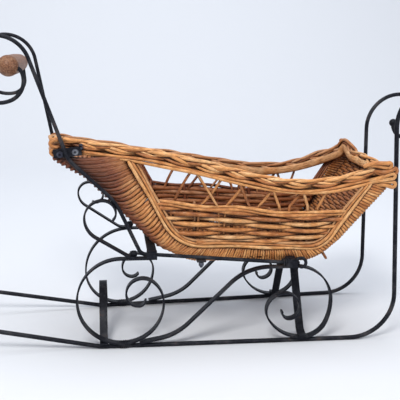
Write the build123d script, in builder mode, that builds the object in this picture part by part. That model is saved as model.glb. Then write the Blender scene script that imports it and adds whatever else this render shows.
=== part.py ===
from build123d import *
from math import asin, atan2, cos, degrees, hypot, radians, sin, tan
import os

os.makedirs("parts", exist_ok=True)

# A small wicker push sleigh on a wrought iron frame. Lengths in millimetres, angles in degrees.
# X runs forward, Y to the sleigh's left, Z up. The origin is on the floor under the middle.
# The two side frames stand upright and splay a little, so the sleigh is wider at the front.
# A route is a start, a heading and a table of moves. Its columns are size and turn:
# turn 0 is a straight run of that length, any other turn is a bend of that radius, left turns positive.

# Iron stock, and the stance of the side frames
track = 123.5
splay = 2.0
runner_r = 2.2
rod_r = 1.85
strip_thick = 1.8
strip_wide = 8.0
strap_thick = 1.6
strap_wide = 9.0
fit = 0.1
rim_room = 0.8

# Runners: a tail that rises to the rear, a level run, an upright and a curl with a ball at its end.
# The frames are bent by hand, so the two runners differ. Columns: level run, upright, its turn.
tail_run = 136.9
tail_rise = 11.2
tail_bend_r = 60.0
runner_foot_x = -113.0
toe_r = 44.0
runner_shape = {"right": (246.0, 168.0, 92.5), "left": (261.0, 152.0, 91.0)}
curl_moves = [(38, -91), (30, -90), (20, -90), (16, -95)]
ball_r = 4.5

# Bar that carries the basket, from the front joint back to the rear one, then up to the handle
front_joint_x = 70.5
front_joint_z = 83.5
rear_joint_x = -77.5
rear_joint_z = 96.5
bar_end = 8.0
rod_bend_r = 8.0
rod_heading = 114.0
handle_moves = {
    "right": [(40, 0), (60, 22), (42, 0), (25, -27), (92, 0), (30, 180), (30, 90), (20, 85), (10, 80)],
    "left": [(34, 0), (60, 34), (45, 0), (25, -48), (81.6, 0), (30, 180), (31, 90), (14, 85), (18, 0)],
}

# Clamp blocks at the joints, and the straps that lie across
clamp_long = 10.0
clamp_wide = 11.0
clamp_wall = 0.8
rear_clamp_x = -67.0
mid_strap_x = -19.0
strap_overhang = 4.0

# Scrolls of flat strip, bent on the flat
rear_scroll_lead = {"right": 35.0, "left": 24.5}
rear_scroll_low_r = {"right": 43.4, "left": 38.0}
rear_scroll_moves = {
    "right": [(41, 90), (28, 52), (16, 128), (12, 90), (7, 80)],
    "left": [(38, 90), (19, 90), (16, 95), (11, 85), (8, 60)],
}
upper_scroll_x = -82.0
upper_scroll_moves = {
    "right": [(3, 0), (12, -32), (34, 0), (22, -58), (17.5, -90), (12.5, -90), (9, -50)],
    "left": [(10, 0), (12, -35), (42, 0), (17, -55), (12, -90), (15, -90), (8, -120)],
}
front_scroll_foot_x = {"right": -80.5, "left": -65.0}
front_scroll_heading = 10.0
front_scroll_foot_moves = [(20, 0), (55, 34)]
front_scroll_top_r = 55.0
front_upper_r = 36.0
front_side_r = 60.0
front_side_turn = 22.0
front_curl_moves = [(40, -60), (18, -120), (16, -90), (11, -90), (7, -100)]

# Arched ties between the runners: the rear one by its height, the front one by its room under the basket
arch_foot = 5.0
arch_foot_r = 12.0
arch_crown_r = 25.0
rear_arch_x = -115.5
rear_arch_high = 43.5
front_arch_room = 1.7
arch_seat_gap = 0.45

# Turned grip
grip_x = -194.5
grip_z = 275.5
grip_r = 9.2
grip_over = 4.0
grip_dome = 6.0

# Basket: room beside it to the frames at the floor, how its sides part to the front and flare
basket_room = 10.4
basket_taper = 3.5
basket_flare = 5.0
basket_floor_z = 95.0
side_thick = 9.0
wall_thick = 6.0
tub_start = (-165.0, 190.0)
tub_heading = -24.0
rear_wall_moves = [(36, 0), (30, -22), (91, 0)]
floor_moves = [(40, 45), (128, 0), (33, 51)]
front_wall_moves = [(68, 0)]
inner_start = (-98.0, 203.0)
inner_heading = -60.3
inner_moves = [(91, 0), (42, 58.5), (106, 0), (30, 58), (72, 0)]
strand_band = 7.0

# Rows woven across the walls, each a rib that bulges out and in
rib_pitch = 6.6
rib_bulge = 1.3

# Rims: two bundles with a groove between. The sides differ, as the basket is woven by eye.
rim_routes = {
    "right": ((-165.0, 205.5), -8.5, [(80, 0), (300, -5), (110, 0), (160, 25.5), (49, 0)]),
    "left": ((-165.0, 194.5), -9.7, [(232, 0), (80, 25.7), (69, 0)]),
}
rim_high = 17.0
rim_wide = 10.0
rim_proud = 1.0
rim_groove_z = -2.5
rim_groove = 1.2
rear_rim_long = 15.0

# Horizontal weave of the sides
weave_start = (-72.0, 147.4)
weave_heading = -5.5
weave_moves = [(154, 0), (100, 12), (30, 0)]
weave_rows = 7
weave_pitch = 5.2
weave_gap = 0.6
weave_inset = 1.5
weave_step = 1.0
weave_thick = 5.0

# Crossing stakes. Columns: x at the low level, x at the high level
lattice_low_z = 140.0
lattice_high_z = 176.0
lattice_stakes = [
    (-47, -27),
    (-1, -24),
    (-20, 8),
    (30, 15),
    (6, 38),
    (59, 46),
    (38, 66),
    (87, 75),
    (69, 95),
    (97, 112),
]
lattice_bar = 2.6
lattice_inset = 2.5

# Plates that hold the handle rods to the side rims. They differ as the rods do.
plate_start = {"right": (-157.0, 194.5), "left": (-169.0, 194.5)}
plate_heading = {"right": 6.0, "left": -6.0}
plate_long = 26.0
plate_high = 8.5

# Length beyond every piece, for cutting tools
reach = 400.0


def after(point, heading, size, turn):
    """Point and heading at the end of one move."""
    x, z = point
    h = radians(heading)
    if turn == 0:
        return (x + size * cos(h), z + size * sin(h)), heading
    hand = 1 if turn > 0 else -1
    k = radians(heading + turn)
    return (x + hand * size * (sin(k) - sin(h)), z - hand * size * (cos(k) - cos(h))), heading + turn


def route_end(point, heading, moves):
    """Point and heading at the end of a route."""
    for size, turn in moves:
        point, heading = after(point, heading, size, turn)
    return point, heading


def move_long(size, turn):
    """Length of one move."""
    return size if turn == 0 else size * radians(abs(turn))


def along(route, distance):
    """Point and heading at a distance along a route."""
    point, heading, moves = route
    for size, turn in moves:
        long = move_long(size, turn)
        share = min(max(distance / long, 0.0), 1.0)
        if turn == 0:
            point, heading = after(point, heading, size * share, 0)
        else:
            point, heading = after(point, heading, size, turn * share) if share > 0 else (point, heading)
        distance -= long
    return point, heading


def beside(point, heading, aside):
    """Point moved square off the heading, to its left."""
    h = radians(heading)
    return (point[0] - aside * sin(h), point[1] + aside * cos(h))


def lay(point, heading, moves, aside=0.0):
    """Draw a route in the open line, shifted to its left, and give its two ends."""
    first = beside(point, heading, aside)
    for size, turn in moves:
        start = beside(point, heading, aside)
        h = radians(heading)
        point, heading = after(point, heading, size, turn)
        if turn == 0:
            Line(start, beside(point, heading, aside))
        else:
            radius = size - aside if turn > 0 else size + aside
            JernArc(start=start, tangent=(cos(h), sin(h)), radius=radius, arc_size=turn)
    return first, beside(point, heading, aside)


def lay_ribs(route, aside, bulge):
    """Draw a row of arcs along a route in the open line, each bulging to its left, and give its ends."""
    whole = sum(move_long(size, turn) for size, turn in route[2])
    count = round(whole / rib_pitch)
    points = [beside(*along(route, whole * n / count), aside) for n in range(count + 1)]
    for start, end in zip(points, points[1:]):
        SagittaArc(start, end, bulge)
    return points[0], points[-1]


def band(route, low, high, mode=Mode.ADD):
    """Face in the open sketch between two shifts of one route."""
    with BuildLine() as edge:
        left = lay(*route, high)
        right = lay(*route, low)
        Line(left[0], right[0])
        Line(left[1], right[1])
    make_face(edge.edges(), mode=mode)


def cut_beyond(route, aside, far):
    """Cut from the open sketch what lies above a route, or below it if far is negative."""
    with BuildLine() as edge:
        first, last = lay(*route, aside)
        Polyline(first, (-reach, first[1]), (-reach, far), (reach, far), (reach, last[1]), last)
    make_face(edge.edges(), mode=Mode.SUBTRACT)


def ribbon(plane, route, low, high, wide):
    """Bar of flat section beside a route in a plane, its width square to the plane."""
    with BuildSketch(plane) as outline:
        band(route, low, high)
    extrude(outline.sketch, amount=wide / 2, both=True)


def round_bar(plane, route, radius, mode=Mode.ADD):
    """Bar of round section that follows a route in a plane."""
    with BuildLine(plane) as path:
        lay(*route)
    with BuildSketch(Plane(origin=path.line @ 0, z_dir=path.line % 0)) as section:
        Circle(radius)
    sweep(section.sketch, path=path.line, mode=mode)


def frame_plane(hand):
    """Upright plane through the middle of one side frame, seen from the sleigh's right."""
    s = radians(splay)
    origin = (0, hand * track / 2, 0)
    return Plane(origin=origin, x_dir=(cos(s), hand * sin(s), 0), z_dir=(hand * sin(s), -cos(s), 0))


def half_track(x):
    """Distance of the side frames from the middle."""
    return track / 2 + x * tan(radians(splay))


def side_plane(hand, inset):
    """Slanting plane of one basket side, inset from its outer face, its normal pointing out."""
    normal = (-tan(radians(basket_taper)), hand, -tan(radians(basket_flare)))
    return Plane(origin=(0, hand * (basket_half - inset), basket_floor_z), z_dir=normal)


def side_slab(outline, hand, outer, inner):
    """Add what an outline's face covers of one basket side, between two insets."""
    slab = extrude(outline.sketch, amount=-hand * basket_half, mode=Mode.PRIVATE)
    slab = split(slab, bisect_by=side_plane(hand, outer), keep=Keep.BOTTOM, mode=Mode.PRIVATE)
    add(split(slab, bisect_by=side_plane(hand, inner), keep=Keep.TOP, mode=Mode.PRIVATE))


def between_sides(inset):
    """Trim what is open to the inside of both basket sides."""
    for hand in (-1, 1):
        split(bisect_by=side_plane(hand, inset), keep=Keep.BOTTOM)


def finish(piece, name):
    """Label a piece and write it."""
    piece.part.label = name
    export_step(piece.part, f"parts/{name}.step")


def side_sketch_plane(hand):
    """Plane inside the basket from which the outline of a side is drawn."""
    return Plane.XZ.offset(-hand * basket_half / 2)


def rim_end_plane(last, above):
    """Plane through both side rims at one end, above their middle, its x axis along them."""
    ends = {side: route_end(*route) if last else route[:2] for side, route in rim_routes.items()}
    h = radians((ends["right"][1] + ends["left"][1]) / 2)
    lean = (ends["left"][0][1] - ends["right"][0][1]) / (2 * basket_half)
    x = (ends["right"][0][0] + ends["left"][0][0]) / 2
    z = (ends["right"][0][1] + ends["left"][0][1]) / 2
    return Plane(
        origin=(x - above * sin(h), 0, z + above * cos(h)),
        x_dir=(cos(h), 0, sin(h)),
        z_dir=(-sin(h), -lean * cos(h), cos(h)),
    )


# Heights that follow from the stock
runner_top = 2 * runner_r
strip_seat_z = runner_top + strip_thick / 2
bar_slope = degrees(atan2(front_joint_z - rear_joint_z, front_joint_x - rear_joint_x))
bar_heading = 180 + bar_slope
tub_route = (tub_start, tub_heading, rear_wall_moves + floor_moves + front_wall_moves)
inner_route = (inner_start, inner_heading, inner_moves)
weave_route = (weave_start, weave_heading, weave_moves)
basket_half = track / 2 - basket_room


def bar_height(x):
    """Height of the carrying bar's centre."""
    return front_joint_z + (x - front_joint_x) * tan(radians(bar_slope))


def tub_height(x):
    """Height of the basket's underside along its level run."""
    point, heading = route_end(tub_start, tub_heading, rear_wall_moves + [floor_moves[0]])
    return point[1] + (x - point[0]) * tan(radians(heading))


# Rear scroll: its top run lies under the rear clamp and its lowest point on the runner
rear_top_z = bar_height(rear_clamp_x) - rod_r - clamp_wall - strip_thick / 2
rear_scroll_high = rear_top_z - strip_seat_z
rear_scroll_start = (rear_clamp_x + clamp_long / 2, rear_top_z)

# Upper scroll: starts on top of the rear scroll, behind the rod
upper_scroll_start = (upper_scroll_x, rear_top_z + strip_thick)

# Front scroll: rises from the runner, lies under the front clamp, then curls down to the runner
front_top_z = front_joint_z - rod_r - clamp_wall - strip_thick / 2
foot_end, rise = route_end((0, strip_seat_z), front_scroll_heading, front_scroll_foot_moves)
top_bend_rise = front_scroll_top_r * (1 - cos(radians(rise)))
rise_run = (front_top_z - foot_end[1] - top_bend_rise) / sin(radians(rise))
rise_moves = front_scroll_foot_moves + [(rise_run, 0), (front_scroll_top_r, -rise)]
rise_end, level = route_end((0, strip_seat_z), front_scroll_heading, rise_moves)
front_lead_end = (front_joint_x + clamp_long / 2, front_top_z)
side_drop = front_side_r * sin(radians(front_side_turn))
front_lower_turn = 90 - front_side_turn
front_lower_r = (front_top_z - front_upper_r - side_drop - strip_seat_z) / (1 - cos(radians(front_lower_turn)))
front_seat_moves = [
    (front_upper_r, -90),
    (front_side_r, -front_side_turn),
    (front_lower_r, -front_lower_turn),
]
front_seat, front_seat_heading = route_end(front_lead_end, level, front_seat_moves)

# Runner, from the end of its tail
tail_back = tail_run * cos(radians(tail_rise)) + tail_bend_r * sin(radians(tail_rise))
tail_up = tail_run * sin(radians(tail_rise)) + tail_bend_r * (1 - cos(radians(tail_rise)))
tail_end = (runner_foot_x - tail_back, runner_r + tail_up)

# Handle rod, from its front end under the basket
rod_start = (front_joint_x + bar_end, bar_height(front_joint_x + bar_end))
rod_turn = rod_heading - bar_heading
bend_lead = rod_bend_r * tan(radians(-rod_turn / 2))
bar_run = (rod_start[0] - rear_joint_x) / cos(radians(bar_slope)) - bend_lead
bar_route = (rod_start, bar_heading, [(bar_run, 0)])
rod_moves = {side: [(bar_run, 0), (rod_bend_r, rod_turn)] + moves for side, moves in handle_moves.items()}

# Straps: the rear one lies on its clamps, the front one on its clamps under the basket,
# and the middle one hangs under the bars
rear_strap_z = bar_height(rear_clamp_x) + rod_r + clamp_wall
mid_strap_z = bar_height(mid_strap_x + strap_wide / 2) - rod_r - fit - strap_thick
front_strap_z = tub_height(front_joint_x + strap_wide / 2) - rib_bulge - strap_thick

for side, hand in (("right", -1), ("left", 1)):
    plane = frame_plane(hand)
    level_run, upright_run, toe_turn = runner_shape[side]
    runner_moves = [(tail_run, 0), (tail_bend_r, tail_rise), (level_run, 0), (toe_r, toe_turn), (upright_run, 0)]
    runner_route = (tail_end, -tail_rise, runner_moves + curl_moves)
    curl_end = route_end(*runner_route)[0]

    with BuildPart() as runner:
        round_bar(plane, runner_route, runner_r)
        with Locations(plane.from_local_coords((curl_end[0], curl_end[1], 0))):
            Sphere(ball_r)
    finish(runner, f"runner_{side}")

    with BuildPart() as rear_scroll:
        low_r = rear_scroll_low_r[side]
        moves = [(rear_scroll_lead[side], 0), (rear_scroll_high - low_r, 90), (low_r, 90)]
        route = (rear_scroll_start, 180, moves + rear_scroll_moves[side])
        ribbon(plane, route, -strip_thick / 2, strip_thick / 2, strip_wide)
    finish(rear_scroll, f"rear_scroll_{side}")

    with BuildPart() as upper_scroll:
        route = (upper_scroll_start, 180, upper_scroll_moves[side])
        ribbon(plane, route, -strip_thick / 2, strip_thick / 2, strip_wide)
    finish(upper_scroll, f"upper_scroll_{side}")

    with BuildPart() as front_scroll:
        foot_x = front_scroll_foot_x[side]
        lead = front_lead_end[0] - foot_x - rise_end[0]
        moves = rise_moves + [(lead, 0)] + front_seat_moves + front_curl_moves
        route = ((foot_x, strip_seat_z), front_scroll_heading, moves)
        ribbon(plane, route, -strip_thick / 2, strip_thick / 2, strip_wide)
    finish(front_scroll, f"front_scroll_{side}")

    with BuildPart() as handle_rod:
        round_bar(plane, (rod_start, bar_heading, rod_moves[side]), rod_r)
    finish(handle_rod, f"handle_rod_{side}")

    for place, x, low, high in (
        ("rear", rear_clamp_x, rear_top_z + strip_thick / 2, rear_strap_z),
        ("front", front_joint_x, front_top_z + strip_thick / 2, front_strap_z),
    ):
        with BuildPart() as clamp:
            base = ((x - clamp_long / 2, low), 0, [(clamp_long, 0)])
            ribbon(plane, base, 0, high - low, clamp_wide)
            round_bar(plane, bar_route, rod_r + fit, Mode.SUBTRACT)
        finish(clamp, f"{place}_clamp_{side}")

    with BuildPart() as rim_plate:
        plate_route = (plate_start[side], plate_heading[side], [(plate_long, 0)])
        ribbon(plane, plate_route, -plate_high / 2, plate_high / 2, track / 4)
        split(bisect_by=side_plane(hand, -rim_proud), keep=Keep.TOP)
        inner_face = plane.offset(hand * (rod_r + fit))
        split(bisect_by=inner_face, keep=Keep.BOTTOM if hand < 0 else Keep.TOP)
    finish(rim_plate, f"rim_plate_{side}")

    rim_route = rim_routes[side]
    with BuildPart() as side_rim:
        for low, high, inset in (
            (-rim_high / 2, rim_groove_z - rim_groove / 2, 0.0),
            (rim_groove_z - rim_groove / 2, rim_groove_z + rim_groove / 2, rim_groove),
            (rim_groove_z + rim_groove / 2, rim_high / 2, 0.0),
        ):
            with BuildSketch(side_sketch_plane(hand), mode=Mode.PRIVATE) as bundle:
                band(rim_route, low, high)
            side_slab(bundle, hand, inset - rim_proud, rim_wide - rim_proud - inset)
    finish(side_rim, f"side_rim_{side}")

    with BuildPart() as side_border:
        with BuildSketch(side_sketch_plane(hand), mode=Mode.PRIVATE) as outline:
            with BuildLine():
                outer = lay_ribs(tub_route, 0, -rib_bulge)
                inner = lay(*inner_route)
                Polyline(outer[0], (outer[0][0], reach), (inner[0][0], reach), inner[0])
                Polyline(outer[1], (outer[1][0], reach), (inner[1][0], reach), inner[1])
            make_face()
            cut_beyond(rim_route, -rim_high / 2, reach)
        side_slab(outline, hand, 0, side_thick)
    finish(side_border, f"side_border_{side}")

    with BuildPart() as side_strands:
        with BuildSketch(side_sketch_plane(hand), mode=Mode.PRIVATE) as outline:
            band(inner_route, 0, strand_band)
            cut_beyond(rim_route, -rim_high / 2, reach)
        side_slab(outline, hand, 0, side_thick - weave_inset)
    finish(side_strands, f"side_strands_{side}")

    with BuildPart() as side_weave:
        for row in range(weave_rows):
            with BuildSketch(side_sketch_plane(hand), mode=Mode.PRIVATE) as outline:
                with BuildLine():
                    inner = lay(*inner_route, strand_band)
                    Line(inner[0], inner[1])
                make_face()
                cut_beyond(weave_route, -row * weave_pitch, reach)
                cut_beyond(weave_route, weave_gap - (row + 1) * weave_pitch, -reach)
            inset = weave_inset + weave_step * (row % 2)
            side_slab(outline, hand, inset, inset + weave_thick)
    finish(side_weave, f"side_weave_{side}")

    with BuildPart() as side_lattice:
        with BuildSketch(side_sketch_plane(hand), mode=Mode.PRIVATE) as outline:
            for low_x, high_x in lattice_stakes:
                lean = degrees(atan2(high_x - low_x, lattice_high_z - lattice_low_z))
                with Locations(((low_x + high_x) / 2, (lattice_low_z + lattice_high_z) / 2)):
                    Rectangle(lattice_bar, lattice_high_z, rotation=-lean)
            with BuildLine():
                inner = lay(*inner_route, strand_band)
                Line(inner[0], inner[1])
            make_face(mode=Mode.INTERSECT)
            cut_beyond(rim_route, -rim_high / 2, reach)
            cut_beyond(weave_route, 0, -reach)
        side_slab(outline, hand, lattice_inset, side_thick - lattice_inset)
    finish(side_lattice, f"side_lattice_{side}")

front_crown_z = tub_height(front_seat[0]) - rib_bulge - front_arch_room - strip_thick
front_foot_z = runner_top + strip_thick + arch_seat_gap
for place, x, foot_z, high in (
    ("rear", rear_arch_x, runner_top + arch_seat_gap, rear_arch_high),
    ("front", front_seat[0], front_foot_z, front_crown_z - front_foot_z),
):
    foot_y = -half_track(x) - strip_wide / 2
    wide = -foot_y - arch_foot
    bend_r = arch_foot_r + arch_crown_r
    lean = degrees(asin(bend_r / hypot(wide, bend_r - high)) - atan2(bend_r - high, wide))
    leg = (wide - bend_r * sin(radians(lean))) / cos(radians(lean))
    half = [(arch_foot, 0), (arch_foot_r, lean), (leg, 0), (arch_crown_r, -lean)]
    with BuildPart() as arch_tie:
        ribbon(Plane.YZ.offset(x), ((foot_y, foot_z), 0, half + half[::-1]), 0, strip_thick, strip_wide)
    finish(arch_tie, f"arch_tie_{place}")

for place, x, low, half_long in (
    ("rear", rear_clamp_x, rear_strap_z, half_track(rear_clamp_x) + strap_overhang),
    ("mid", mid_strap_x, mid_strap_z, half_track(mid_strap_x) + strap_overhang),
    ("front", front_joint_x, front_strap_z, half_track(front_joint_x) + strap_overhang),
):
    with BuildPart() as cross_strap:
        with Locations((x, 0, low)):
            Box(strap_wide, 2 * half_long, strap_thick, align=(Align.CENTER, Align.CENTER, Align.MIN))
    finish(cross_strap, f"cross_strap_{place}")

grip_long = 2 * (half_track(grip_x) + grip_over)
with BuildPart() as grip:
    with BuildSketch(Plane(origin=(grip_x, 0, grip_z), x_dir=(0, 1, 0), z_dir=(1, 0, 0))) as outline:
        Rectangle(grip_long, grip_r, align=(Align.CENTER, Align.MIN))
        fillet(outline.vertices().group_by(Axis.Y)[-1], grip_dome)
    revolve(axis=Axis((grip_x, 0, grip_z), (0, 1, 0)))
    for side, hand in (("right", -1), ("left", 1)):
        point, heading = route_end(rod_start, bar_heading, rod_moves[side][:-2])
        last_bends = (point, heading, rod_moves[side][-2:])
        round_bar(frame_plane(hand), last_bends, rod_r + fit, Mode.SUBTRACT)
finish(grip, "grip")

for place, last, long in (("rear", False, rear_rim_long), ("front", True, -rim_wide)):
    with BuildPart() as end_rim:
        plane = rim_end_plane(last, 0)
        with Locations(plane):
            with Locations((long / 2, 0, 0)):
                Box(abs(long), 4 * basket_half, rim_high)
        between_sides(rim_wide - rim_proud)
    finish(end_rim, f"{place}_rim")

for name, before, moves in (
    ("rear_wall", [], rear_wall_moves),
    ("floor", rear_wall_moves, floor_moves),
    ("front_wall", rear_wall_moves + floor_moves, front_wall_moves),
):
    start, heading = route_end(tub_start, tub_heading, before)
    with BuildPart() as tub_wall:
        with BuildSketch(Plane.XZ) as outline:
            with BuildLine():
                outer = lay_ribs((start, heading, moves), 0, -rib_bulge)
                inner = lay_ribs((start, heading, moves), wall_thick, rib_bulge)
                Line(outer[0], inner[0])
                Line(outer[1], inner[1])
            make_face()
        extrude(outline.sketch, amount=2 * basket_half, both=True)
        between_sides(side_thick)
        if name != "floor":
            split(bisect_by=rim_end_plane(name == "front_wall", -rim_high / 2 - rim_room), keep=Keep.BOTTOM)
    finish(tub_wall, name)
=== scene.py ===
import math
import random

import bpy
import numpy as np
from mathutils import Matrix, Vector


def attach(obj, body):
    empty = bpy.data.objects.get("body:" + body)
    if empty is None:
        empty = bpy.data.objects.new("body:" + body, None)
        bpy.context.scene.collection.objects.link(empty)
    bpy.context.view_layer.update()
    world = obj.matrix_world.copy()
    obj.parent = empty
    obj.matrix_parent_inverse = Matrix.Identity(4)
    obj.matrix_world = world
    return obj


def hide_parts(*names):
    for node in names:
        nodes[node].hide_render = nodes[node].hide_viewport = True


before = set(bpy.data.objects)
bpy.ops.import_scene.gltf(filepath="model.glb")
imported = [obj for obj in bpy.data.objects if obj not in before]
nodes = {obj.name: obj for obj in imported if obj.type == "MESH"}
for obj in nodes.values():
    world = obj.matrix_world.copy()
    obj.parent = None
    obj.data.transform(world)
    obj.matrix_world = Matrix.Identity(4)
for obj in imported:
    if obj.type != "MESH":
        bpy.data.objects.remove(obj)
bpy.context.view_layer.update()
dice = random.Random(7)

# Lengths of the sleigh are millimetres: X forward, Y to its left, Z up. Stage, lamps and camera are metres.
MM = 0.001

# Basket: sides that part to the front and flare, and the routes of its edges in side view.
# A route is a start, a heading and moves of (size, turn); turn 0 is a straight run.
basket_half = 51.35
basket_taper = math.tan(math.radians(3.5))
basket_flare = math.tan(math.radians(5.0))
basket_floor_z = 95.0
tub_route = ((-165.0, 191.0), -24.0, [(36, 0), (30, -22), (91, 0), (40, 45), (130, 0), (33, 51), (84, 0)])
inner_route = ((-98.0, 203.0), -60.3, [(91, 0), (42, 58.5), (107, 0), (30, 58), (72, 0)])
weave_route = ((-72.0, 147.4), -5.5, [(154, 0), (100, 12), (30, 0)])
rim_routes = {
    -1: ((-165.0, 205.5), -8.5, [(80, 0), (300, -5), (110, 0), (160, 25.5), (51, 0)]),
    1: ((-165.0, 194.5), -9.7, [(209, 0), (180, 25.7), (47, 0)]),
}
rim_half_high = 8.5

# Rows of the shell: where one at a distance along the outer edge reaches the inner edge
row_pairs = (
    (0.0, 12.0),
    (36.0, 25.0),
    (60.0, 39.0),
    (78.0, 55.0),
    (99.5, 72.5),
    (126.5, 99.0),
    (148.0, 115.0),
    (162.0, 128.0),
    (170.0, 134.0),
    (300.0, 241.0),
    (329.5, 272.0),
    (412.0, 343.0),
)

# Crossing stakes. Columns: x at the low level, x at the high level, which is lattice_span above it
lattice_stakes = (
    (-47, -27),
    (-1, -24),
    (-20, 8),
    (30, 15),
    (6, 38),
    (59, 46),
    (38, 66),
    (87, 75),
    (69, 95),
    (97, 112),
)
lattice_foot_z = 108.0
lattice_low_z = 138.0
lattice_span = 38.0
lattice_r = 1.35
lattice_out = -3.4
upright_share = 0.3

# Level weave of a side, right (-1) and left (1). Columns: rows, rod radius, swing round the uprights
weave_rods = {-1: (8, 1.9, 2.5), 1: (9, 2.6, 1.6)}
weave_low_z = 103.6
weave_room = 5.6
weave_out = -2.9
upright_stakes = (-61.0, -24.0, 13.0, 49.5, 86.0, 122.0)
upright_r = 1.7
upright_out = -4.6
stake_gap = 36.8

# The two rods on top of the weave. Columns: height against the weave's top, out of the side, sway
top_rods = ((-3.4, -0.6, 1.2), (-0.9, -1.6, -1.2))
top_rod_r = 1.7

# Rods that frame the weave. Columns: inside the inner edge, out of the side, tone
border_rods = ((0.4, 0.6, 0.0), (3.2, 0.2, 0.14), (5.7, -1.2, 0.38))
border_drop = 3.6

# Shell: its rear end, its depth in the sides, and where its rear part ends and its front part begins
shell_rear_x = -160.0
shell_rear_skew = 3.3 / 50
shell_inset = 3.6
rear_end, rear_fade = 120.0, 50.0
front_start, front_fade = 285.0, 36.0
side_points = 10
under_points = 40
wave_high = 1.3
wave_fade = 7.0
rear_sag = 8.5
stake_r = 1.5
shell_stakes = 7
stake_spread = 0.78

# Wraps of the scalloped edge, by distance along the outer edge
wrap_r = 2.0
wrap_count = 29
wrap_start = 9.0
wrap_gap = 4.7

# Rim: its middle against the sides' outer faces, its plait, the rods below and the flat band inside
rim_out = -4.0
rim_corner = 6.0
plait_long = 84.0
plait_up = 2.5
plait_deep = 2.4
pair_gap = 1.3
rim_rod_ups = (-3.9, -6.3)
rim_rod_out = 2.1
rim_rod_r = 1.7
band_out, band_up = -3.4, -1.9
band_thick, band_tall = 1.7, 4.2

# Iron frame: half its track at x = 0, how its sides part to the front, the handle rod's radius
track_half = 61.75
splay = math.tan(math.radians(2.0))
rod_r = 1.85

# Bolts of the rim plates, right (-1) and left (1), as (x, z)
plate_bolts = {-1: ((-150.8, 194.0), (-136.6, 196.2)), 1: ((-163.0, 193.5), (-149.0, 192.5))}

# Wired or welded joints. Columns: x, z, size, turns, lean
wired_joints = (
    (-95.5, 3.6, (13, 2.9, 3.3), 7, 0.0),
    (-84.5, 97.0, (6, 2.4, 2.2), 4, 0.0),
    (68.0, 83.6, (13, 4.6, 4.0), 6, -0.09),
)

# Grip: its middle, axis and reach to either end
grip_centre = (-194.5, 0, 275.5)
grip_axis = (-0.02, 1, 0.0)
grip_near, grip_far = 63.5, 59.0


# Routes


def after(point, heading, size, turn):
    """Point and heading at the end of one move."""
    x, z = point
    h = math.radians(heading)
    if turn == 0:
        return (x + size * math.cos(h), z + size * math.sin(h)), heading
    hand = 1 if turn > 0 else -1
    k = math.radians(heading + turn)
    x += hand * size * (math.sin(k) - math.sin(h))
    z -= hand * size * (math.cos(k) - math.cos(h))
    return (x, z), heading + turn


def route_long(route):
    return sum(size if turn == 0 else size * math.radians(abs(turn)) for size, turn in route[2])


def along(route, distance):
    """Point and heading at a distance along a route."""
    point, heading, moves = route
    for size, turn in moves:
        long = size if turn == 0 else size * math.radians(abs(turn))
        share = min(max(distance / long, 0.0), 1.0)
        if share > 0:
            if turn == 0:
                point, heading = after(point, heading, size * share, 0)
            else:
                point, heading = after(point, heading, size, turn * share)
        distance -= long
    return point, heading


def aside(point, heading, left):
    h = math.radians(heading)
    return point[0] - left * math.sin(h), point[1] + left * math.cos(h)


def z_at(route, x):
    """Height of a route that runs forward, at a given x."""
    low, high = 0.0, route_long(route)
    for _ in range(24):
        mid = (low + high) / 2
        if along(route, mid)[0][0] < x:
            low = mid
        else:
            high = mid
    return along(route, low)[0][1]


def half_wide(x, z):
    """Distance of a basket side's outer face from the middle."""
    return basket_half + basket_taper * x + basket_flare * (z - basket_floor_z)


def on_side(hand, x, z, out):
    """Point of a basket side, out of its outer face."""
    return Vector((x, hand * (half_wide(x, z) + out), z))


def on_frame(hand, x, z, out=0.0):
    """Point of a side frame's middle plane, out of it."""
    return Vector((x, hand * (track_half + splay * x + out), z))


def ease(t):
    t = min(max(t, 0.0), 1.0)
    return t * t * (3 - 2 * t)


# Meshes


def new_mesh(name, verts, faces, smooth=True):
    mesh = bpy.data.meshes.new(name)
    mesh.from_pydata(verts, [], faces)
    if smooth:
        mesh.polygons.foreach_set("use_smooth", [True] * len(mesh.polygons))
    mesh.update()
    return mesh


def place(name, mesh, material):
    piece = bpy.data.objects.new(name, mesh)
    bpy.context.scene.collection.objects.link(piece)
    mesh.materials.append(material)
    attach(piece, "root")
    return piece


def add_rings(verts, faces, centre, axis, profile, around, spin=0.0):
    """Rings about an axis, closed at the far end. Profile rows are (distance along the axis, radius)."""
    base = len(verts)
    axis = Vector(axis).normalized()
    side = axis.orthogonal().normalized()
    other = axis.cross(side)
    for long, r in profile:
        for j in range(around):
            a = 2 * math.pi * j / around + spin
            v = Vector(centre) + axis * long + (side * math.cos(a) + other * math.sin(a)) * r
            verts.append(tuple(v * MM))
    for k in range(len(profile) - 1):
        for j in range(around):
            a, b = base + k * around + j, base + k * around + (j + 1) % around
            faces.append((a, b, b + around, a + around))
    last = base + (len(profile) - 1) * around
    faces.append(tuple(last + j for j in range(around)))


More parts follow.
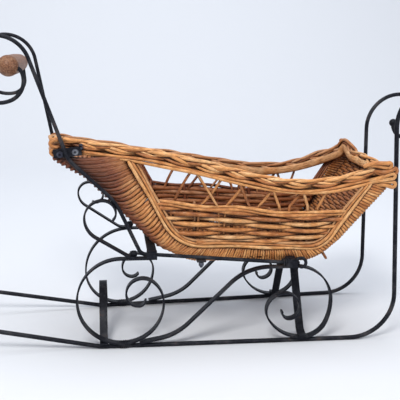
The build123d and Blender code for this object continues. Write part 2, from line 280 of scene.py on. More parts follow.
class Bundle:
    """Many tubes gathered in one mesh, with what their material needs at every point."""

    def __init__(self):
        self.verts = []
        self.faces = []
        self.strand = []
        self.length = []
        self.girth = []
        self.tone = []
        self.spread = 1.0

    def tube(self, points, wide, tall=None, up=(0, 0, 1), tone=0.0, sides=7, ends=0.55):
        """A tube along points. Half sizes, up vectors and tones are one each or one a point."""
        p = np.array([tuple(v) for v in points], float)
        n = len(p)
        wide = np.broadcast_to(np.asarray(wide, float), (n,)).copy()
        tall = wide.copy() if tall is None else np.broadcast_to(np.asarray(tall, float), (n,)).copy()
        for size in (wide, tall):
            size[0] *= ends
            size[-1] *= ends
        tangent = np.gradient(p, axis=0)
        tangent /= np.linalg.norm(tangent, axis=1)[:, None]
        ups = np.asarray([tuple(v) for v in up] if np.ndim(up) == 2 else tuple(up), float)
        side = np.cross(tangent, np.broadcast_to(ups, (n, 3)))
        side /= np.linalg.norm(side, axis=1)[:, None]
        top = np.cross(side, tangent)
        steps = np.concatenate([[0], np.cumsum(np.linalg.norm(np.diff(p, axis=0), axis=1))])
        base = len(self.verts)
        who = 0.5 + (dice.random() - 0.5) * self.spread
        start = dice.random() * 100
        for k in range(n):
            for j in range(sides):
                a = 2 * math.pi * j / sides
                off = side[k] * wide[k] * math.cos(a) + top[k] * tall[k] * math.sin(a)
                self.verts.append((p[k] + off) * MM)
                self.strand.append(who)
                self.length.append(start + steps[k])
                self.girth.append(j / sides)
                self.tone.append(tone if np.ndim(tone) == 0 else tone[k])
        for k in range(n - 1):
            for j in range(sides):
                a = base + k * sides + j
                b = base + k * sides + (j + 1) % sides
                self.faces.append((a, b, b + sides, a + sides))
        self.faces.append(tuple(base + j for j in reversed(range(sides))))
        self.faces.append(tuple(base + (n - 1) * sides + j for j in range(sides)))

    def build(self, name, material):
        mesh = new_mesh(name, [tuple(v) for v in self.verts], self.faces)
        values = {"strand": self.strand, "length": self.length, "girth": self.girth, "tone": self.tone}
        for value, row in values.items():
            mesh.attributes.new(value, "FLOAT", "POINT").data.foreach_set("value", row)
        return place(name, mesh, material)


# Materials


def shader(name):
    material = bpy.data.materials.new(name)
    material.use_nodes = True
    tree = material.node_tree
    return material, tree, tree.nodes["Principled BSDF"]


def node(tree, kind, inputs=None, **settings):
    made = tree.nodes.new(kind)
    for key, value in settings.items():
        setattr(made, key, value)
    for key, value in (inputs or {}).items():
        if isinstance(value, bpy.types.NodeSocket):
            tree.links.new(value, made.inputs[key])
        else:
            made.inputs[key].default_value = value
    return made


def ramp(tree, source, stops):
    made = tree.nodes.new("ShaderNodeValToRGB")
    tree.links.new(source, made.inputs[0])
    elements = made.color_ramp.elements
    elements[0].position, elements[0].color = stops[0][0], (*stops[0][1], 1)
    elements[1].position, elements[1].color = stops[-1][0], (*stops[-1][1], 1)
    for position, colour in stops[1:-1]:
        elements.new(position).color = (*colour, 1)
    return made.outputs[0]


def step(tree, source, low, high):
    """White above high, black below low."""
    return ramp(tree, source, [(low, (0, 0, 0)), (high, (1, 1, 1))])


def mix(tree, share, a, b, blend="MIX"):
    made = tree.nodes.new("ShaderNodeMix")
    made.data_type = "RGBA"
    made.blend_type = blend
    for key, value in ((0, share), (6, a), (7, b)):
        if isinstance(value, bpy.types.NodeSocket):
            tree.links.new(value, made.inputs[key])
        else:
            made.inputs[key].default_value = value if key == 0 else (*value, 1)
    return made.outputs[2]


def maths(tree, operation, a, b=0.5, c=0.5):
    made = tree.nodes.new("ShaderNodeMath")
    made.operation = operation
    for key, value in enumerate((a, b, c)):
        if isinstance(value, bpy.types.NodeSocket):
            tree.links.new(value, made.inputs[key])
        else:
            made.inputs[key].default_value = value
    return made.outputs[0]


def noise(tree, where, scale, detail):
    inputs = {"Vector": where, "Scale": scale, "Detail": detail}
    return node(tree, "ShaderNodeTexNoise", inputs).outputs["Fac"]


def attribute(tree, name):
    return node(tree, "ShaderNodeAttribute", attribute_name=name).outputs["Fac"]


def willow_material():
    """Aged willow: long streaks along each rod, its own shade a rod, pale rubs, painted shade in the crevices
    between rods, and darkening by tone that is mostly painted shade.
    """
    material, tree, bsdf = shader("willow")
    strand = attribute(tree, "strand")
    length = attribute(tree, "length")
    girth = attribute(tree, "girth")
    tone = attribute(tree, "tone")
    turn = maths(tree, "MULTIPLY", girth, 6.2832)
    round_xyz = {
        "X": maths(tree, "COSINE", turn),
        "Y": maths(tree, "SINE", turn),
        "Z": maths(tree, "MULTIPLY", length, 0.06),
    }
    where = node(tree, "ShaderNodeCombineXYZ", round_xyz).outputs[0]
    fibre = {"Vector": where, "Scale": 3.2, "Detail": 6.0, "Roughness": 0.6}
    streaks = node(tree, "ShaderNodeTexNoise", fibre).outputs["Fac"]
    patch = {"W": maths(tree, "MULTIPLY", length, 0.035), "Scale": 1.6, "Detail": 2.0}
    patches = node(tree, "ShaderNodeTexNoise", patch, noise_dimensions="1D").outputs["Fac"]
    shade = maths(tree, "ADD", maths(tree, "MULTIPLY", strand, 0.50), maths(tree, "MULTIPLY", patches, 0.50))
    stops = [
        (0.12, (0.200, 0.060, 0.018)),
        (0.38, (0.520, 0.190, 0.050)),
        (0.60, (0.730, 0.335, 0.108)),
        (0.88, (0.900, 0.560, 0.270)),
    ]
    body = ramp(tree, shade, stops)
    dark_streak = maths(tree, "MULTIPLY", ramp(tree, streaks, [(0.34, (1, 1, 1)), (0.54, (0, 0, 0))]), 0.70)
    body = mix(tree, dark_streak, body, (0.130, 0.038, 0.014))
    pale_streak = maths(tree, "MULTIPLY", step(tree, streaks, 0.56, 0.74), 0.65)
    body = mix(tree, pale_streak, body, (0.880, 0.640, 0.400))
    # Painted shade: ambient occlusion darkens the crevices between rods toward a near-black brown.
    cavity = node(tree, "ShaderNodeAmbientOcclusion", {"Distance": 0.006}, samples=8).outputs["AO"]
    painted_crevice_shade = maths(tree, "SUBTRACT", 1.0, step(tree, cavity, 0.38, 0.92))
    body = mix(tree, maths(tree, "MULTIPLY", painted_crevice_shade, 0.95), body, (0.058, 0.016, 0.008))
    # The tone attribute darkens the colour. It is mostly painted shade: the far side, under the rim, the
    # shell's outer rear edge and its underside. It is partly the far side's own darker colour. Past 1 it
    # darkens further.
    body = mix(tree, tone, body, mix(tree, 1.0, body, (0.34, 0.24, 0.30), "MULTIPLY"))
    deep = maths(tree, "SUBTRACT", tone, 1.0)
    body = mix(tree, deep, body, mix(tree, 1.0, body, (0.30, 0.24, 0.20), "MULTIPLY"))
    tree.links.new(body, bsdf.inputs["Base Color"])
    tree.links.new(maths(tree, "MULTIPLY_ADD", streaks, 0.35, 0.30), bsdf.inputs["Roughness"])
    bump = node(tree, "ShaderNodeBump", {"Height": streaks, "Strength": 0.5, "Distance": 0.0006})
    tree.links.new(bump.outputs[0], bsdf.inputs["Normal"])
    bsdf.inputs["Specular IOR Level"].default_value = 0.3
    return material


def iron_material(name, worn, level):
    """Hand-forged iron under old black paint: soft dents, greyer rubbed patches and faint rust."""
    material, tree, bsdf = shader(name)
    where = node(tree, "ShaderNodeTexCoord").outputs["Object"]
    broad = noise(tree, where, 55.0, 4.0)
    fine = noise(tree, where, 420.0, 5.0)
    base = [(0.30, (0.005, 0.005, 0.008)), (0.55, (0.010, 0.011, 0.016)), (0.75, (0.024, 0.026, 0.033))]
    body = ramp(tree, fine, [(stop, tuple(level * v for v in colour)) for stop, colour in base])
    rubbed = maths(tree, "MULTIPLY", step(tree, broad, 0.50, 0.70), worn)
    body = mix(tree, rubbed, body, tuple(level * v for v in (0.058, 0.061, 0.068)))
    rust = maths(tree, "MULTIPLY", step(tree, maths(tree, "MULTIPLY", broad, fine), 0.33, 0.42), 0.35)
    body = mix(tree, rust, body, (0.085, 0.040, 0.024))
    tree.links.new(body, bsdf.inputs["Base Color"])
    bsdf.inputs["Metallic"].default_value = 0.2
    bsdf.inputs["Specular IOR Level"].default_value = 0.14
    tree.links.new(maths(tree, "MULTIPLY_ADD", fine, 0.36, 0.34), bsdf.inputs["Roughness"])
    height = maths(tree, "ADD", fine, maths(tree, "MULTIPLY", broad, 2.0))
    bump = node(tree, "ShaderNodeBump", {"Height": height, "Strength": 0.35, "Distance": 0.0007})
    tree.links.new(bump.outputs[0], bsdf.inputs["Normal"])
    return material


def grip_material():
    """Turned reddish-brown wood: rings round its axis, long grain and rubbed pale spots."""
    material, tree, bsdf = shader("turned_wood")
    where = node(tree, "ShaderNodeTexCoord").outputs["Object"]
    stretched = node(tree, "ShaderNodeMapping", {"Vector": where, "Scale": (1.0, 0.16, 1.0)}).outputs[0]
    grain = noise(tree, stretched, 900.0, 5.0)
    blotch = noise(tree, where, 130.0, 3.0)
    stops = [(0.28, (0.075, 0.027, 0.014)), (0.52, (0.190, 0.083, 0.043)), (0.75, (0.360, 0.190, 0.105))]
    body = ramp(tree, grain, stops)
    rubbed = maths(tree, "MULTIPLY", step(tree, blotch, 0.50, 0.70), 0.5)
    body = mix(tree, rubbed, body, (0.400, 0.240, 0.140))
    # Painted shade: ambient occlusion darkens the grooves toward a near-black brown.
    cavity = node(tree, "ShaderNodeAmbientOcclusion", {"Distance": 0.002}, samples=8).outputs["AO"]
    body = mix(tree, maths(tree, "SUBTRACT", 1.0, step(tree, cavity, 0.3, 0.95)), body, (0.050, 0.018, 0.014))
    tree.links.new(body, bsdf.inputs["Base Color"])
    tree.links.new(maths(tree, "MULTIPLY_ADD", grain, 0.3, 0.26), bsdf.inputs["Roughness"])
    bsdf.inputs["Specular IOR Level"].default_value = 0.25
    bump = node(tree, "ShaderNodeBump", {"Height": grain, "Strength": 0.3, "Distance": 0.0004})
    tree.links.new(bump.outputs[0], bsdf.inputs["Normal"])
    return material


willow = willow_material()
iron = iron_material("forged_iron", 0.55, 1.0)
bolt_steel = iron_material("bolt_steel", 1.0, 4.0)
turned = grip_material()

for name, piece in nodes.items():
    for k in range(len(piece.data.materials)):
        piece.data.materials[k] = turned if name == "grip" else iron


# Basket shell: rows woven across, from one side round the bottom edge to the other


def row_pitch(distance):
    """Gap between rows of the shell: wide behind, narrow below, a little wider in front."""
    return 4.3 - 1.7 * ease((distance - 128) / 40) + 0.6 * ease((distance - 290) / 30)


def front_share(distance):
    return ease((distance - front_start) / front_fade)


def shell_depth(distance):
    """How far the middle of the shell lies inside the outer edge, seen from the side."""
    return 2.3 + 6.0 * front_share(distance)


def inner_match(distance):
    for (a, b), (c, d) in zip(row_pairs, row_pairs[1:]):
        if distance <= c:
            return b + (d - b) * (distance - a) / (c - a)
    return row_pairs[-1][1]


def under_rim(hand, x):
    return z_at(rim_routes[hand], x) - rim_half_high


def rear_limit(y):
    """Rearmost x of the shell, under the rear rim."""
    return shell_rear_x - shell_rear_skew * y


def sunk(point, heading, left):
    """Point beside the inner edge, whose level run hangs a little lower."""
    drop = border_drop * max(0.0, math.cos(math.radians(heading))) ** 3
    return aside(point, heading, left - drop)


def shell_row(distance, count, pitch):
    """Points, radii and tones of one row of the shell at a distance along the outer edge."""
    point, heading = along(tub_route, distance)
    inner = sunk(*along(inner_route, inner_match(distance)), 0.0)
    rear = 1 - ease((distance - rear_end) / rear_fade)
    upper = 1 - ease((distance - 30) / 60)
    front = front_share(distance)
    lip = 7.8 * ease((distance - 150) / 30) * (1 - front) - 6.0 * front
    lip -= 4.0 * (1 - ease(distance / 40))
    lip += rear * (0.9 if count % 2 else -0.4)
    sag = rear_sag * rear * (0.6 + 0.4 * (1 - upper))
    lean = dice.uniform(-0.6, 0.6)
    low = aside(point, heading, -lip)
    edges = {}
    for hand in (-1, 1):
        side = []
        for k in range(side_points + 1):
            t = k / side_points
            low_x = max(low[0], rear_limit(52 * hand))
            x = low_x + (inner[0] - low_x) * t + lean * t
            z = low[1] + (inner[1] - low[1]) * t - sag * math.sin(math.pi * t ** 0.8)
            z = min(z, under_rim(hand, x) + 3.5)
            swell = math.sin(math.pi * min(1.0, 0.10 + 0.86 * t)) ** 0.7
            out = -3.4 + 3.9 * swell + dice.uniform(-0.25, 0.25)
            side.append((on_side(hand, x, z, out), t))
        edges[hand] = side
    depth = shell_depth(distance)
    half = half_wide(*aside(point, heading, depth)) - shell_inset
    under = []
    for k in range(1, under_points):
        y = -half + 2 * half * k / under_points
        wave = math.cos(math.pi * (y / half + 1) * 4 + math.pi * (count % 2)) * wave_high
        px, pz = aside(point, heading, depth + wave * ease((half - abs(y)) / wave_fade))
        under.append((Vector((max(px, rear_limit(y) + 1), y, pz)), -1.0))
    line = list(reversed(edges[-1])) + under + edges[1]
    points = [p for p, _ in line]
    radii, tones = [], []
    for p, t in line:
        if t >= 0:
            narrow = 1 - 0.16 * t * rear
            radii.append(pitch * 0.525 * narrow * dice.uniform(0.94, 1.06))
            # Tones are painted shade. They are darker towards the outer rear edge and under the rear rim.
            # They are also darker on the far (left) side and on the underside.
            shade = 1.6 * rear * (1 - ease(t / (0.8 + 0.3 * upper))) + 0.5 * upper
            tones.append(min(1.9, shade + (0.5 if p.y > 0 else 0.0)))
        else:
            radii.append(pitch * 0.55)
            tones.append(0.62)
    return points, radii, tones


def make_shell():
    shell = Bundle()
    shell.spread = 0.5
    whole = route_long(tub_route)
    distance, count = 1.5, 0
    while distance < whole - 1.0:
        pitch = row_pitch(distance)
        points, radii, tones = shell_row(distance, count, pitch)
        up = [(0.12, 0.3 if p.y > 0 else -0.3, 0.95) for p in points]
        shell.tube(points, radii, [r * 1.05 for r in radii], up=up, tone=tones)
        distance += pitch
        count += 1
    for k in range(shell_stakes):
        share = stake_spread * (2 * k / (shell_stakes - 1) - 1)
        line = []
        for stop in range(81):
            distance = 5 + (whole - 8) * stop / 80
            point, heading = along(tub_route, distance)
            x, z = aside(point, heading, shell_depth(distance))
            x = max(x, rear_limit(share * 50) + 1)
            line.append(Vector((x, share * (half_wide(x, z) - shell_inset), z)))
        shell.tube(line, stake_r, tone=0.7, sides=6)
    for hand in (-1, 1):
        for k in range(wrap_count):
            distance = wrap_start + wrap_gap * k
            point, heading = along(tub_route, distance)
            inset = 4.0 * (1 - ease(distance / 40))
            line = []
            for n in range(5):
                across = -2.6 + 1.5 * n
                x, z = aside(point, heading, across + inset)
                x += 0.55 * across
                line.append(on_side(hand, max(x, rear_limit(52 * hand)), z, 0.2 - 0.28 * (across + 0.5) ** 2))
            # The wraps are painted dark: painted shade on the scalloped edge.
            shell.tube(line, wrap_r, tone=1.3, up=(0, 1, 0), sides=7, ends=0.5)
    return shell.build("woven_shell", willow)


# Basket sides


# The left (far) side is darker: partly its own colour, partly painted shade.
def side_colour_and_shade(hand):
    return 0.0 if hand < 0 else 0.78


def make_strands(hand):
    """The bundle of rods that frames the weave inside the ribbed band."""
    bundle = Bundle()
    whole = route_long(inner_route)
    for n, (left, out, shade) in enumerate(border_rods):
        line = []
        for k in range(121):
            distance = 8 + (whole - 10) * k / 120
            point, heading = along(inner_route, distance)
            sway = 0.9 * math.sin(distance / 21) + 0.3 * math.sin(distance / 8.3 + n * 2.1)
            x, z = sunk(point, heading, left + sway)
            if z < under_rim(hand, x) + 2.5:
                line.append(on_side(hand, x, z, out + 0.7 * math.sin(distance / 13.5 + n * 1.7)))
        girths = [(1.8 - 0.1 * n) * (1 + 0.08 * math.sin(k / 7 + n * 2)) for k in range(len(line))]
        bundle.tube(line, girths, tone=min(1.0, side_colour_and_shade(hand) + shade), up=(0, -hand, 0.2))
    return bundle.build(f"border_strands_{'left' if hand > 0 else 'right'}", willow)


def inner_edges():
    """Table of the border's inner edge: its rear and front x at levels of z."""
    rear, front = [], []
    whole = route_long(inner_route)
    for k in range(401):
        point, heading = along(inner_route, whole * k / 400)
        x, z = sunk(point, heading, 4.5)
        if heading < -3:
            rear.append((z, x))
        if heading > 3:
            front.append((z, x))
    return sorted(rear), sorted(front)


rear_edge, front_edge = inner_edges()


def edge_x(edge, z):
    return float(np.interp(z, [row[0] for row in edge], [row[1] for row in edge]))


def make_weave(hand):
    """Level rods woven round upright stakes, with the crossing stakes of the lattice above."""
    bundle = Bundle()
    tone = side_colour_and_shade(hand)
    rows, thick, depth = weave_rods[hand]
    for row in range(rows):
        share = row / (rows - 1)
        level = weave_low_z + (z_at(weave_route, 20) - weave_low_z) * share
        rear, front = edge_x(rear_edge, level) - 3.5, edge_x(front_edge, level) + 3
        wobble = dice.uniform(0, 6.28)
        hue = tone + dice.uniform(0, 0.12) * (hand < 0)
        line, radii = [], []
        for k in range(111):
            x = rear + (front - rear) * k / 110
            top = z_at(weave_route, x) - weave_room
            wave = math.cos(math.pi * ((x + 24) / stake_gap + row))
            z = weave_low_z + (top - weave_low_z) * share + 0.5 * math.sin(x / 17 + wobble)
            line.append(on_side(hand, x, z, weave_out + depth * wave))
            radii.append(thick * (1.02 + 0.26 * max(0.0, wave)) * dice.uniform(0.97, 1.03))
        bundle.tube(line, radii, tone=hue, up=(0, 0, 1), sides=8)
    for lift, out, sway in top_rods:
        line = []
        wobble = dice.uniform(0, 6.28)
        rear = edge_x(rear_edge, z_at(weave_route, -60)) - 1
        front = edge_x(front_edge, z_at(weave_route, 120)) + 1
        for k in range(111):
            x = rear + (front - rear) * k / 110
            z = z_at(weave_route, x) + lift + sway * math.sin(x / 11.7 + wobble)
            line.append(on_side(hand, x, z, out + math.cos(x / 11.7 + wobble)))
        bundle.tube(line, top_rod_r, tone=tone, up=(0, 0, 1), sides=8)
    for x in upright_stakes:
        foot, top = 101 + 0.8 * max(0.0, x - 100), z_at(weave_route, x) + 2
        line = []
        for k in range(13):
            line.append(on_side(hand, x + 0.5 * math.sin(k), foot + (top - foot) * k / 12, upright_out))
        bundle.tube(line, upright_r, tone=min(1.0, tone + 0.6), up=(0, 1, 0))
    for n, (low_x, high_x) in enumerate(lattice_stakes):
        line = []
        bend = dice.uniform(-1.6, 1.6)
        top_z = z_at(rim_routes[hand], max(-160, min(160, high_x))) - 3
        for k in range(25):
            t = k / 24
            if t < upright_share:
                part = t / upright_share
                x = low_x + (1 - part) * (1.5 if n % 2 else -1.5)
                z = lattice_foot_z + (lattice_low_z - lattice_foot_z) * part
            else:
                part = (t - upright_share) / (1 - upright_share)
                z = lattice_low_z + (top_z - lattice_low_z) * part
                x = low_x + (high_x - low_x) * (z - lattice_low_z) / lattice_span
                x += bend * math.sin(math.pi * part)
            out = lattice_out + (1.0 if n % 2 else -1.0) * (t > upright_share)
            line.append(on_side(hand, x, z, out))
        bundle.tube(line, lattice_r * dice.uniform(0.88, 1.12), tone=max(0.25, tone), up=(0, 1, 0))
    return bundle.build(f"side_weave_rods_{'left' if hand > 0 else 'right'}", willow)


# Rims: one loop round the basket

# Middle of the rim at its corners. Columns: rear x, front x
rim_reach = {-1: (-157.5, 166.5), 1: (-164.5, 162.0)}


def rim_loop():
    """Closed line through the middle of all four rims, from the right rear corner forward."""
    corner = rim_corner
    line = []
    runs = {}
    for hand in (-1, 1):
        rear, front = rim_reach[hand]
        runs[hand] = [
            on_side(hand, x, z_at(rim_routes[hand], x), rim_out)
            for x in (rear + corner + (front - rear - 2 * corner) * k / 120 for k in range(121))
        ]
    line += runs[-1]
    for a, b, x_a, x_b in (
        (runs[-1][-1], runs[1][-1], rim_reach[-1][1], rim_reach[1][1]),
        (runs[1][0], runs[-1][0], rim_reach[1][0], rim_reach[-1][0]),
    ):
        hand = 1 if b.y > 0 else -1
        y_a, y_b = a.y + hand * corner, b.y - hand * corner
        for k in range(41):
            t = k / 40
            corner_share = 1 - ease(min(t, 1 - t) / 0.22)
            lift = (9.0 if t > 0.5 else 3.0) * corner_share if x_a > 0 else -2.5 * corner_share
            line.append(Vector((x_a + (x_b - x_a) * t, y_a + (y_b - y_a) * t, a.z + (b.z - a.z) * t + lift)))
        if x_a > 0:
            line += list(reversed(runs[1]))
    return line


def resample(line, gap):
    """A closed line with even steps and eased corners."""
    p = np.array([tuple(v) for v in line] + [tuple(line[0])], float)
    lengths = np.concatenate([[0], np.cumsum(np.linalg.norm(np.diff(p, axis=0), axis=1))])
    even = np.linspace(0, lengths[-1], int(lengths[-1] / gap), endpoint=False)
    out = np.stack([np.interp(even, lengths, p[:, k]) for k in range(3)], axis=1)
    for _ in range(6):
        out = (np.roll(out, 1, axis=0) + out + np.roll(out, -1, axis=0)) / 3
    return out


def make_rims():
    centre = resample(rim_loop(), 2.0)
    tangent = np.roll(centre, -1, axis=0) - np.roll(centre, 1, axis=0)
    tangent /= np.linalg.norm(tangent, axis=1)[:, None]
    outward = np.cross(tangent, (0, 0, 1))
    outward /= np.linalg.norm(outward, axis=1)[:, None]
    upward = np.cross(outward, tangent)
    gap = np.linalg.norm(centre[1] - centre[0])
    count = len(centre)
    total = gap * count
    bundle = Bundle()
    # The left (far) rim is darker: partly painted shade, partly its own colour.
    tone = np.clip((centre[:, 1] + 5) / 50, 0, 1) * 0.62

    def strand(path, wide, tall=None, extra=0.0, sides=8):
        """A rod round the loop; path gives (out, up) at a distance."""
        rows = [k % count for k in range(count + 4)]
        points = []
        for k in rows:
            out, up = path(k * gap)
            points.append(centre[k] + outward[k] * out + upward[k] * up)
        bundle.tube(
            points,
            [wide * (1 + 0.10 * math.sin(k * gap / 23 + wide * 9)) for k in rows],
            None if tall is None else [tall] * len(rows),
            up=[tuple(upward[k]) for k in rows],
            tone=[min(1.0, max(0.0, tone[k] + extra)) for k in rows],
            sides=sides,
        )

    plaits = round(total / plait_long)
    for n in range(3):
        for pair in (-1, 1):
            sway = [(dice.uniform(0, 6.28), dice.randint(5, 13), dice.uniform(0.2, 0.5)) for _ in range(3)]

            def braid(d, n=n, pair=pair, sway=sway):
                a = 2 * math.pi * (plaits * d / total + n / 3)
                round_loop = 2 * math.pi * d / total
                loose = sum(size * math.sin(round_loop * turns + start) for start, turns, size in sway)
                apart = pair * pair_gap * (0.8 + 0.35 * math.sin(a * 2 + sway[0][0]))
                up = plait_up + plait_up * math.sin(a) + apart + loose
                return -0.2 + plait_deep * math.sin(2 * a) + 0.5 * pair * math.cos(a) + 0.5 * loose, up

            strand(braid, dice.uniform(1.45, 1.85))
    for base in rim_rod_ups:
        start, rise = dice.uniform(0, 6.28), dice.uniform(0, 6.28)

        def rod(d, base=base, start=start, rise=rise):
            out = rim_rod_out + 0.6 * math.sin(10 * math.pi * d / total + start)
            return out, base + 0.55 * math.sin(18 * math.pi * d / total + rise)

        strand(rod, rim_rod_r)

    def band(d):
        return band_out, band_up + 0.3 * math.sin(6 * math.pi * d / total)

    strand(band, band_thick, band_tall, -0.2, 10)
    return bundle.build("rim_braid", willow)


def make_corner_turns():
    """Rod ends that turn back at the rim's corners."""
    bundle = Bundle()
    # Columns: x where it leaves the rim, x of its tip, z of its middle, how far it swings out
    front_turns = (
        (140.0, 167.0, 181.0, 2.2),
        (146.0, 172.6, 174.5, 3.2),
        (140.0, 171.0, 168.0, 3.6),
        (148.0, 172.2, 161.5, 2.6),
    )
    r, rod, in_z = 2.5, 2.2, 170.5
    for n, (x_in, x_tip, middle, swing) in enumerate(front_turns):
        line = []
        x_turn = x_tip - r - rod
        for k in range(49):
            t = k / 48
            a = math.pi * ease((t - 0.40) / 0.20)
            share = ease(t / 0.40) if t < 0.5 else ease((1 - t) / 0.40)
            x = x_in + (x_turn - x_in) * share + r * math.sin(a)
            z = middle + r * math.cos(a) * share + 1.4 * math.sin(4.2 * share + n * 1.9)
            z += (z_at(rim_routes[-1], x_in) - in_z) * (1 - share)
            out = -4.5 + (swing + 4.5) * ease((x - x_in) / (160 - x_in)) + 0.6 * math.sin(5 * t + n)
            line.append(on_side(-1, x, z, out))
        bundle.tube(line, rod, tone=0.03 + 0.05 * (n % 2), up=(0, 1, 0), sides=8, ends=0.3)
    # Columns: side, x, z, half length (below 0 opens to the rear), half height, out
    end_turns = (
        (-1, -153.8, 204.0, 5.6, 3.4, 0.6),
        (-1, -153.8, 195.8, 5.4, 3.2, 0.4),
        (1, -160.5, 196.5, 6.0, 3.6, 0.5),
        (1, -160.5, 188.5, 6.0, 3.4, 0.5),
        (1, 160.5, 182.6, -5.6, 3.4, -0.5),
        (1, 161.0, 183.2, -4.0, 2.6, -4.5),
        (1, 159.0, 175.5, -5.2, 3.2, 0.4),
    )
    for hand, x, z, long, high, out in end_turns:
        line = []
        for k in range(19):
            a = math.radians(60 + 240 * k / 18)
            line.append(on_side(hand, x + long * math.cos(a), z + high * math.sin(a), out))
        # Those on the left (far) side are darker: partly painted shade, partly their own colour.
        bundle.tube(line, 1.9, tone=0.25 if hand < 0 else 0.55, up=(0, 1, 0), sides=8)
    loose_twig = [on_side(-1, 104.5 + 0.9 * k, 90 - 1.3 * k, -3 - 0.6 * k) for k in range(7)]
    bundle.tube(loose_twig, 1.5, tone=0.4, up=(0, 1, 0), ends=0.8)
    return bundle.build("rim_corner_turns", willow)


shell = make_shell()
strand_pieces = {hand: make_strands(hand) for hand in (-1, 1)}
weave_pieces = {hand: make_weave(hand) for hand in (-1, 1)}
rims = make_rims()
make_corner_turns()
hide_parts("floor", "rear_wall", "front_wall", "side_border_right", "side_border_left")
for hand, side in ((-1, "right"), (1, "left")):
    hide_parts(f"side_strands_{side}")
    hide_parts(f"side_weave_{side}", f"side_lattice_{side}")
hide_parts("side_rim_right", "side_rim_left", "rear_rim", "front_rim")


# Turned parts and fasteners


def lathe(name, centre, axis, profile, material, around=40):
    """A turned piece, closed at both ends. Profile rows are (distance along the axis, radius)."""
    verts, faces = [], []
    add_rings(verts, faces, centre, axis, profile, around)
    faces.append(tuple(reversed(range(around))))
    return place(name, new_mesh(name, verts, faces), material)


def grip_profile():
    """Barrel with turned rings and domed ends; the near end is a little fuller."""
    rows = []
    near, far = grip_near, grip_far
    for k in range(31):
        a = math.pi / 2 * k / 30
        r = 9.7 * math.sin(a) - (0.45 if k % 5 == 0 and k < 30 else 0.0)
        rows.append((-near + 10.0 * (1 - math.cos(a)), max(0.3, r)))
    for k in range(1, 90):
        s = -near + 10.0 + (near + far - 19.0) * k / 90
        groove = 0.3 if k % 3 == 0 else 0.0
        rows.append((s, 9.2 - 0.5 * s / near + 0.3 * math.cos(math.pi * s / near) - groove))
    for k in range(31):
        a = math.pi / 2 * k / 30
        rows.append((far - 9.0 + 9.0 * math.sin(a), max(0.3, 8.4 * math.cos(a))))
    return rows


grip = lathe("turned_grip", grip_centre, grip_axis, grip_profile(), turned, 36)
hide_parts("grip")


def make_bolts():
    """Hexagon heads, washers and bolt ends on the rim plates, joints and straps, as one mesh."""
    verts, faces = [], []
    # Profiles: rows are (distance along the axis, radius)
    washer = [(-1.5, 3.1), (0.7, 3.1), (0.9, 2.8)]
    nut = [(0.0, 2.7), (2.3, 2.7), (2.7, 2.3), (2.7, 1.5), (0.2, 1.4)]
    pin = [(-3.0, 1.2), (3.2, 1.2), (3.5, 0.8)]
    stud = [(-2.5, 2.6), (0.6, 2.6), (1.2, 1.9), (2.6, 1.3), (3.0, 0.8)]
    for hand, spots in plate_bolts.items():
        for x, z in spots:
            centre = on_frame(hand, x, z, -rod_r)
            add_rings(verts, faces, centre, (0, hand, 0), washer, 20)
            add_rings(verts, faces, centre, (0, hand, 0), nut, 6, dice.uniform(0, 1))
    for z in (199.5, 202.3):
        add_rings(verts, faces, on_frame(-1, -131.5, z, -4.0), (0.3, -1, 0.2), pin, 10)
    add_rings(verts, faces, on_frame(-1, -19.0, 84.0), (0, 0, -1), stud, 12)
    return place("bolts", new_mesh("bolts", verts, faces, smooth=False), bolt_steel)


def make_iron_knots():
    """Lumps of weld and wire where the bars meet."""
    bundle = Bundle()

    def knot(centre, size, turns, lean):
        line = []
        for k in range(turns * 10 + 1):
            a = 2 * math.pi * k / 10
            swell = math.sin(math.pi * k / (turns * 10)) * 0.35 + 0.75
            x = (k / (turns * 10) - 0.5) * size[0]
            off = Vector((x, size[1] * swell * math.cos(a), size[2] * swell * math.sin(a) + lean * x))
            line.append(Vector(centre) + off)
        bundle.tube(line, 0.9, up=(1, 0, 0.01), sides=6)

    for hand in (-1, 1):
        for x, z, size, turns, lean in wired_joints:
            knot(on_frame(hand, x, z), size, turns, lean)
        line = []
        for k in range(25):
            a = math.radians(150 - 270 * k / 24)
            r = 6.0 - 2.8 * k / 24
            line.append(on_frame(hand, 79.5 + r * math.cos(a), 83.5 + r * math.sin(a), 2.5 + 0.08 * k))
        bundle.tube(line, 1.7, up=(0, 1, 0), sides=7)
    return bundle.build("joint_wire", iron)


make_bolts()
make_iron_knots()


# Stage, light and camera


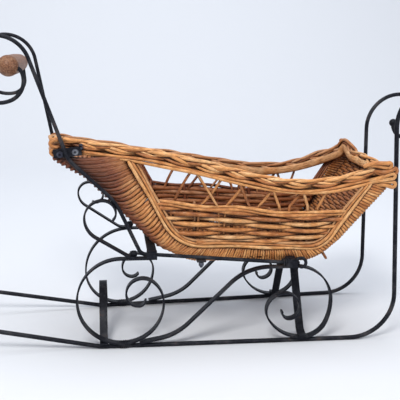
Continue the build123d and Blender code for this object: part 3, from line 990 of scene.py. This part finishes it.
def backdrop():
    """A pale floor that curves up into a backdrop."""
    reach, bend_start, bend_r, high = 14.0, 1.0, 0.9, 3.6
    profile = [(-reach, 0.0), (bend_start, 0.0)]
    for angle in range(6, 91, 6):
        a = math.radians(angle)
        profile.append((bend_start + bend_r * math.sin(a), bend_r - bend_r * math.cos(a)))
    profile.append((bend_start + bend_r, high))
    verts = [(x, y, z) for y, z in profile for x in (-reach, reach)]
    faces = [(2 * k, 2 * k + 1, 2 * k + 3, 2 * k + 2) for k in range(len(profile) - 1)]
    mesh = new_mesh("pale_floor", verts, faces)
    piece = bpy.data.objects.new("pale_floor", mesh)
    bpy.context.scene.collection.objects.link(piece)
    material, _, bsdf = shader("pale_paper")
    bsdf.inputs["Base Color"].default_value = (0.695, 0.717, 0.755, 1)
    bsdf.inputs["Roughness"].default_value = 0.9
    bsdf.inputs["Specular IOR Level"].default_value = 0.1
    mesh.materials.append(material)


backdrop()

world = bpy.data.worlds.new("studio")
bpy.context.scene.world = world
world.use_nodes = True
tree = world.node_tree
background = tree.nodes["Background"]
background.inputs["Color"].default_value = (0.90, 0.93, 1.0, 1)
rays = tree.nodes.new("ShaderNodeLightPath").outputs
seen = maths(tree, "MAXIMUM", rays["Is Glossy Ray"], rays["Is Transmission Ray"])
seen = maths(tree, "MAXIMUM", rays["Is Camera Ray"], seen)
tree.links.new(maths(tree, "MULTIPLY_ADD", seen, 0.45, 0.50), background.inputs["Strength"])


def lamp(name, where, target, size, power, colour=(1, 1, 1)):
    light = bpy.data.lights.new(name, "AREA")
    light.shape = "DISK"
    light.size = size
    light.energy = power
    light.color = colour
    piece = bpy.data.objects.new(name, light)
    piece.location = where
    piece.rotation_euler = (Vector(target) - Vector(where)).to_track_quat("-Z", "Y").to_euler()
    bpy.context.scene.collection.objects.link(piece)


lamp("key", (-0.45, -1.15, 1.35), (0, 0, 0.12), 0.55, 20.5, (1.0, 0.98, 0.95))
lamp("fill", (1.3, -0.6, 0.9), (0, 0, 0.12), 1.2, 6, (0.93, 0.96, 1.0))
lamp("backdrop", (0.0, 0.5, 2.2), (0, 1.7, 0.5), 2.0, 28, (0.95, 0.97, 1.0))

camera_data = bpy.data.cameras.new("camera")
camera_data.lens = 64.8
camera_data.sensor_width = 36.0
camera = bpy.data.objects.new("camera", camera_data)
camera.location = (-0.104, -0.729, 0.297)
camera.rotation_euler = (math.radians(90 - 12.43), 0, math.radians(-7.15))
bpy.context.scene.collection.objects.link(camera)
bpy.context.scene.camera = camera
bpy.context.scene.view_settings.view_transform = "Standard"
